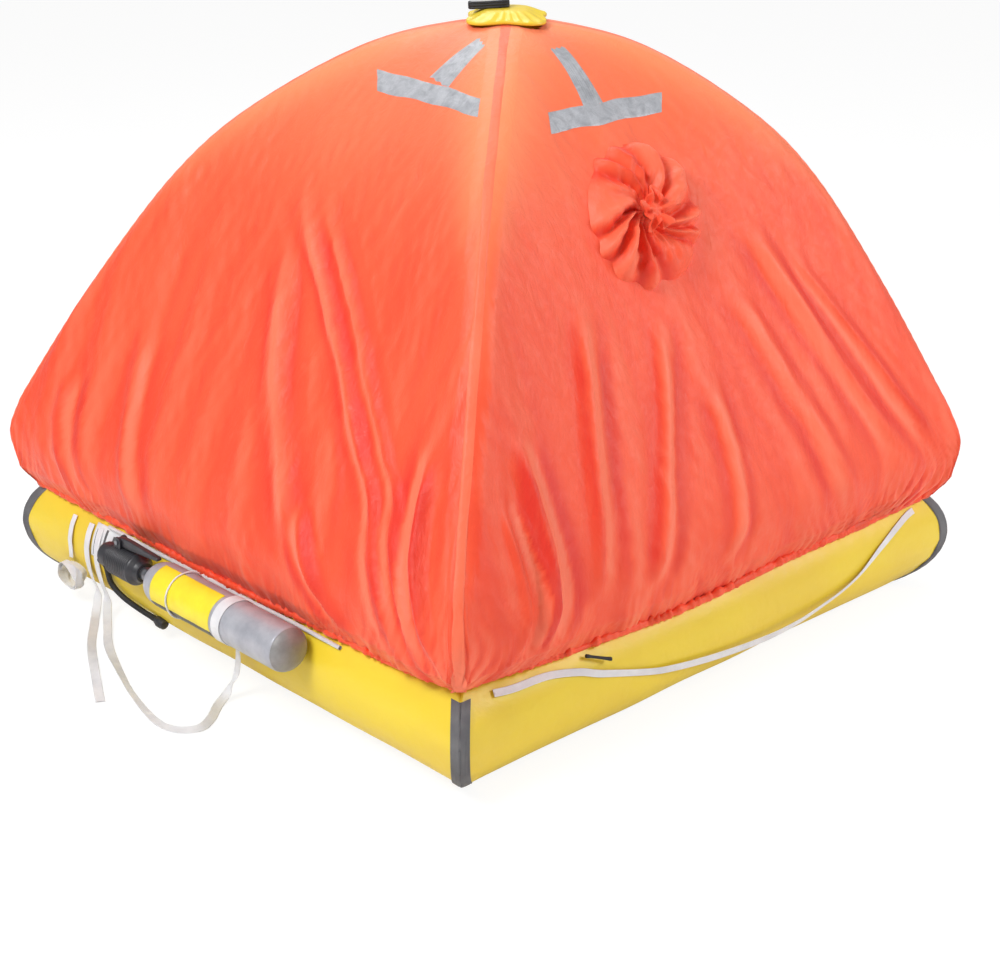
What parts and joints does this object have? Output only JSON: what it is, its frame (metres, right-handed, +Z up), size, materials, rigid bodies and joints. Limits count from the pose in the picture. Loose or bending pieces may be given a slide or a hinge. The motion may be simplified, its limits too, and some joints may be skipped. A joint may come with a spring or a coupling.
{
  "type": "inflatable liferaft with canopy",
  "caption": "Square inflated liferaft: stacked buoyancy tubes, orange canopy on crossed arches, vent sleeve, crown lamp and strapped gas bottle.",
  "frame": {"origin": "middle of the flat underside of the floor sheet, under the middle of the buoyancy tubes", "axes": "+Z up, -Y towards the side with the vent sleeve, -X towards the side with the gas bottle, +Y towards the doorway"},
  "size_m": [2.1079, 1.8467, 1.6065],
  "materials": {
    "tube_fabric": "rubber coated fabric, satin yellow",
    "canopy_fabric": "coated canopy cloth, bright orange, soft sheen",
    "floor_fabric": "rubber coated fabric, dark grey, matt",
    "corner_tape": "rubber coated tape, dark grey, matt",
    "reflector": "reflective tape, light grey with a fine cell pattern",
    "webbing": "woven webbing and cord, white",
    "bottle_metal": "light grey painted metal, satin",
    "black_fitting": "black, satin",
    "cap_grey": "dark grey, matt",
    "label": "bare yellow label, satin",
    "lens": "clear to white lens, glossy"
  },
  "bodies": {
    "raft": {"lower_buoyancy_tube": "tube_fabric", "upper_buoyancy_tube": "tube_fabric", "ballast_pocket_1": "floor_fabric", "ballast_pocket_2": "floor_fabric", "ballast_pocket_3": "floor_fabric", "ballast_pocket_4": "floor_fabric", "floor_sheet": "floor_fabric", "arch_tubes": "tube_fabric", "canopy_panel_vent": "canopy_fabric", "canopy_panel_far": "canopy_fabric", "canopy_panel_entrance": "canopy_fabric", "canopy_panel_bottle": "canopy_fabric", "canopy_hem": "canopy_fabric", "ridge_tape_1": "canopy_fabric", "ridge_tape_2": "canopy_fabric", "ridge_tape_3": "canopy_fabric", "ridge_tape_4": "canopy_fabric", "reflector_vent": "reflector", "reflector_far": "reflector", "reflector_entrance": "reflector", "reflector_bottle": "reflector", "crown_patch": "tube_fabric", "lamp_base": "black_fitting", "lamp_lens": "lens", "vent_sleeve": "canopy_fabric", "vent_tie": "webbing", "door_flap_roll": "canopy_fabric", "door_tie_left": "webbing", "door_tie_right": "webbing", "corner_tape_1": "corner_tape", "corner_tape_2": "corner_tape", "corner_tape_3": "corner_tape", "corner_tape_4": "corner_tape", "gas_bottle": "bottle_metal", "bottle_valve": "bottle_metal", "bottle_label": "label", "bottle_strap": "webbing", "bottle_tie": "webbing", "operating_head": "black_fitting", "lever_pin": "bottle_metal", "inflation_hose": "black_fitting", "hose_inlet": "black_fitting", "topping_valve_lower": "black_fitting", "relief_valve_lower": "black_fitting", "topping_valve_upper": "black_fitting", "relief_valve_upper": "black_fitting", "boarding_ladder": "webbing", "barred_patch": "reflector", "grab_line": "webbing", "operating_webbing": "webbing", "webbing_tail": "webbing", "hank_webbing": "webbing", "webbing_hank": "webbing", "hem_cord": "webbing", "hem_toggle": "black_fitting"},
    "firing_lever": {"firing_lever": "black_fitting"},
    "topping_cap_lower": {"topping_cap_lower": "cap_grey"},
    "topping_cap_upper": {"topping_cap_upper": "cap_grey"}
  },
  "joints": [
    {"name": "lever_swing", "type": "hinge", "parent": "raft", "child": "firing_lever", "pos_m": [-0.94445, 0.335, 0.28756], "axis": [-1, 0, 0], "range_deg": [0, 100]},
    {"name": "lower_cap_turn", "type": "hinge", "parent": "raft", "child": "topping_cap_lower", "pos_m": [-0.38, 0.5735, 0.155], "axis": [0, 1, 0], "range_deg": [0, 90]},
    {"name": "upper_cap_turn", "type": "hinge", "parent": "raft", "child": "topping_cap_upper", "pos_m": [-0.38, 0.6455, 0.4293], "axis": [0, 1, 0], "range_deg": [0, 90]}
  ]
}
